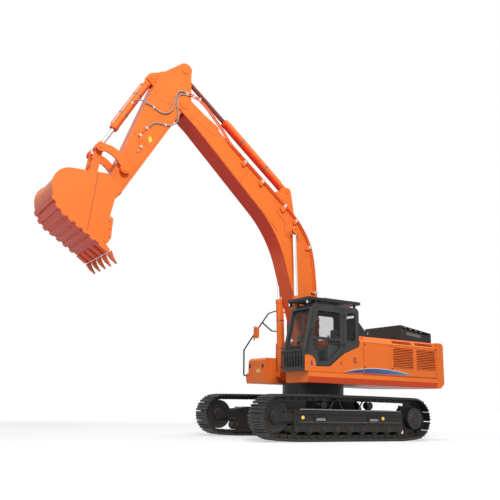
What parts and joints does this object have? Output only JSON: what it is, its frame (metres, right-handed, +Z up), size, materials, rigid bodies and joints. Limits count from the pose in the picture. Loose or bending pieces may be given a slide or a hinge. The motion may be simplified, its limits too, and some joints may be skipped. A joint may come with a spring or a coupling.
{
  "type": "crawler excavator",
  "caption": "Tracked excavator with a swinging upper body and cab, a cranked boom, an arm and a toothed bucket worked by hydraulic cylinders.",
  "frame": {"origin": "on the ground under the swing axis, midway between the tracks", "axes": "+X to the front, +Y to the left, +Z up"},
  "size_m": [11.4988, 3.34, 9.58],
  "materials": {
    "orange_paint": "satin sprayed paint",
    "black_paint": "semi-matte black paint",
    "cab_grey": "satin dark grey paint",
    "track_steel": "matte dark steel",
    "cylinder_rod": "polished chrome",
    "counterweight_iron": "satin paint over a casting",
    "clear_glass": "clear",
    "seat_fabric": "woven",
    "console_plastic": "grained",
    "engine_block": "dull",
    "mirror_shell": "satin"
  },
  "bodies": {
    "undercarriage": {"car_body": "black_paint", "track_frame_left": "black_paint", "track_frame_right": "black_paint", "track_left": "track_steel", "track_right": "track_steel", "idlers": "track_steel", "sprockets": "track_steel", "travel_motors": "track_steel", "track_rollers": "track_steel", "carrier_rollers": "track_steel"},
    "upper": {"swing_ring": "black_paint", "main_frame": "orange_paint", "counterweight": "counterweight_iron", "engine": "engine_block", "cab_frame": "cab_grey", "cab_glass": "clear_glass", "roof_guard": "black_paint", "front_guard": "black_paint", "operator_seat": "seat_fabric", "cab_console": "console_plastic", "left_side_panel": "orange_paint", "hood": "orange_paint", "raised_cover": "black_paint", "cab_back_cover": "black_paint", "fuel_tank": "orange_paint", "hydraulic_tank": "orange_paint", "tool_box": "orange_paint", "handrail": "black_paint", "mirror": "mirror_shell"},
    "cab_door": {"cab_door": "cab_grey", "door_glass": "clear_glass"},
    "service_door_left": {"service_door_left": "orange_paint"},
    "radiator_door": {"radiator_door": "orange_paint"},
    "pump_door": {"pump_door": "orange_paint"},
    "engine_lid": {"engine_lid": "orange_paint"},
    "tool_box_lid": {"tool_box_lid": "orange_paint"},
    "boom": {"boom": "orange_paint"},
    "arm": {"arm": "orange_paint"},
    "bucket": {"bucket": "orange_paint", "bucket_teeth": "track_steel"},
    "rocker": {"rocker": "orange_paint"},
    "bucket_link": {"bucket_link": "orange_paint"},
    "boom_cylinder_tube": {"boom_cylinder_tube": "orange_paint"},
    "boom_cylinder_rod": {"boom_cylinder_rod": "cylinder_rod"},
    "arm_cylinder_tube": {"arm_cylinder_tube": "orange_paint"},
    "arm_cylinder_rod": {"arm_cylinder_rod": "cylinder_rod"},
    "bucket_cylinder_tube": {"bucket_cylinder_tube": "orange_paint"},
    "bucket_cylinder_rod": {"bucket_cylinder_rod": "cylinder_rod"}
  },
  "joints": [
    {"name": "swing", "type": "hinge", "parent": "undercarriage", "child": "upper", "pos_m": [0, 0, 1.12], "axis": [0, 0, 1], "continuous": true},
    {"name": "boom_lift", "type": "hinge", "parent": "upper", "child": "boom", "pos_m": [0.2, 0, 2.25], "axis": [0, -1, 0], "range_deg": [-96, 3]},
    {"name": "boom_cylinder_swing", "type": "hinge", "parent": "upper", "child": "boom_cylinder_tube", "pos_m": [0.78, 0, 1.62], "axis": [0, -1, 0], "range_deg": [-96.98, 3.05]},
    {"name": "boom_cylinder_stroke", "type": "slide", "parent": "boom_cylinder_tube", "child": "boom_cylinder_rod", "axis": [0.0489, 0, 0.9988], "range_m": [-1.2787, 0.0419]},
    {"name": "arm_crowd", "type": "hinge", "parent": "boom", "child": "arm", "pos_m": [4.41, 0, 8.4], "axis": [0, 1, 0], "range_deg": [-85, 22]},
    {"name": "arm_cylinder_swing", "type": "hinge", "parent": "boom", "child": "arm_cylinder_tube", "pos_m": [1.01, 0, 6.71], "axis": [0, 1, 0], "range_deg": [-2.91, 0.77]},
    {"name": "arm_cylinder_stroke", "type": "slide", "parent": "arm_cylinder_tube", "child": "arm_cylinder_rod", "axis": [0.7862, 0, 0.6179], "range_m": [-1.2927, 0.3361]},
    {"name": "bucket_curl", "type": "hinge", "parent": "arm", "child": "bucket", "pos_m": [6.1, 0, 5.76], "axis": [0, 1, 0], "range_deg": [-50, 105]},
    {"name": "rocker_swing", "type": "hinge", "parent": "arm", "child": "rocker", "pos_m": [5.92, 0, 6.26], "axis": [0, 1, 0], "range_deg": [-37.52, 78.77]},
    {"name": "link_swing", "type": "hinge", "parent": "rocker", "child": "bucket_link", "pos_m": [6.545, 0, 6.685], "axis": [0, 1, 0], "range_deg": [-45.7, 21.77]},
    {"name": "bucket_cylinder_swing", "type": "hinge", "parent": "arm", "child": "bucket_cylinder_tube", "pos_m": [5.28, 0, 8.975], "axis": [0, 1, 0], "range_deg": [-2.12, 4.43]},
    {"name": "bucket_cylinder_stroke", "type": "slide", "parent": "bucket_cylinder_tube", "child": "bucket_cylinder_rod", "axis": [0.4835, 0, -0.8753], "range_m": [-0.4226, 0.8853]},
    {"name": "cab_door_hinge", "type": "hinge", "parent": "upper", "child": "cab_door", "pos_m": [0.085, 1.502, 2.5], "axis": [0, 0, 1], "range_deg": [0, 170]},
    {"name": "service_door_hinge", "type": "hinge", "parent": "upper", "child": "service_door_left", "pos_m": [-1.484, 1.481, 2.1], "axis": [0, 0, 1], "range_deg": [0, 100]},
    {"name": "radiator_door_hinge", "type": "hinge", "parent": "upper", "child": "radiator_door", "pos_m": [-3.209, 1.481, 2.1], "axis": [0, 0, 1], "range_deg": [0, 100]},
    {"name": "pump_door_hinge", "type": "hinge", "parent": "upper", "child": "pump_door", "pos_m": [-3.209, -1.481, 2.1], "axis": [0, 0, -1], "range_deg": [0, 100]},
    {"name": "engine_lid_hinge", "type": "hinge", "parent": "upper", "child": "engine_lid", "pos_m": [-0.92, 0, 2.671], "axis": [0, 1, 0], "range_deg": [0, 70]},
    {"name": "tool_box_lid_hinge", "type": "hinge", "parent": "upper", "child": "tool_box_lid", "pos_m": [0.312, -1.025, 2.101], "axis": [0, -1, 0], "range_deg": [0, 80]}
  ],
  "couplings": [
    {"joint": "boom_cylinder_swing", "follows": "boom_lift", "ratio": 1.01},
    {"joint": "boom_cylinder_stroke", "follows": "boom_lift", "m_per_rad": 0.762},
    {"joint": "arm_cylinder_swing", "follows": "arm_crowd", "ratio": 0.034},
    {"joint": "arm_cylinder_stroke", "follows": "arm_crowd", "m_per_rad": 0.87},
    {"joint": "rocker_swing", "follows": "bucket_curl", "ratio": 0.75},
    {"joint": "link_swing", "follows": "bucket_curl", "ratio": -0.435},
    {"joint": "bucket_cylinder_swing", "follows": "bucket_curl", "ratio": 0.042},
    {"joint": "bucket_cylinder_stroke", "follows": "bucket_curl", "m_per_rad": 0.482}
  ]
}
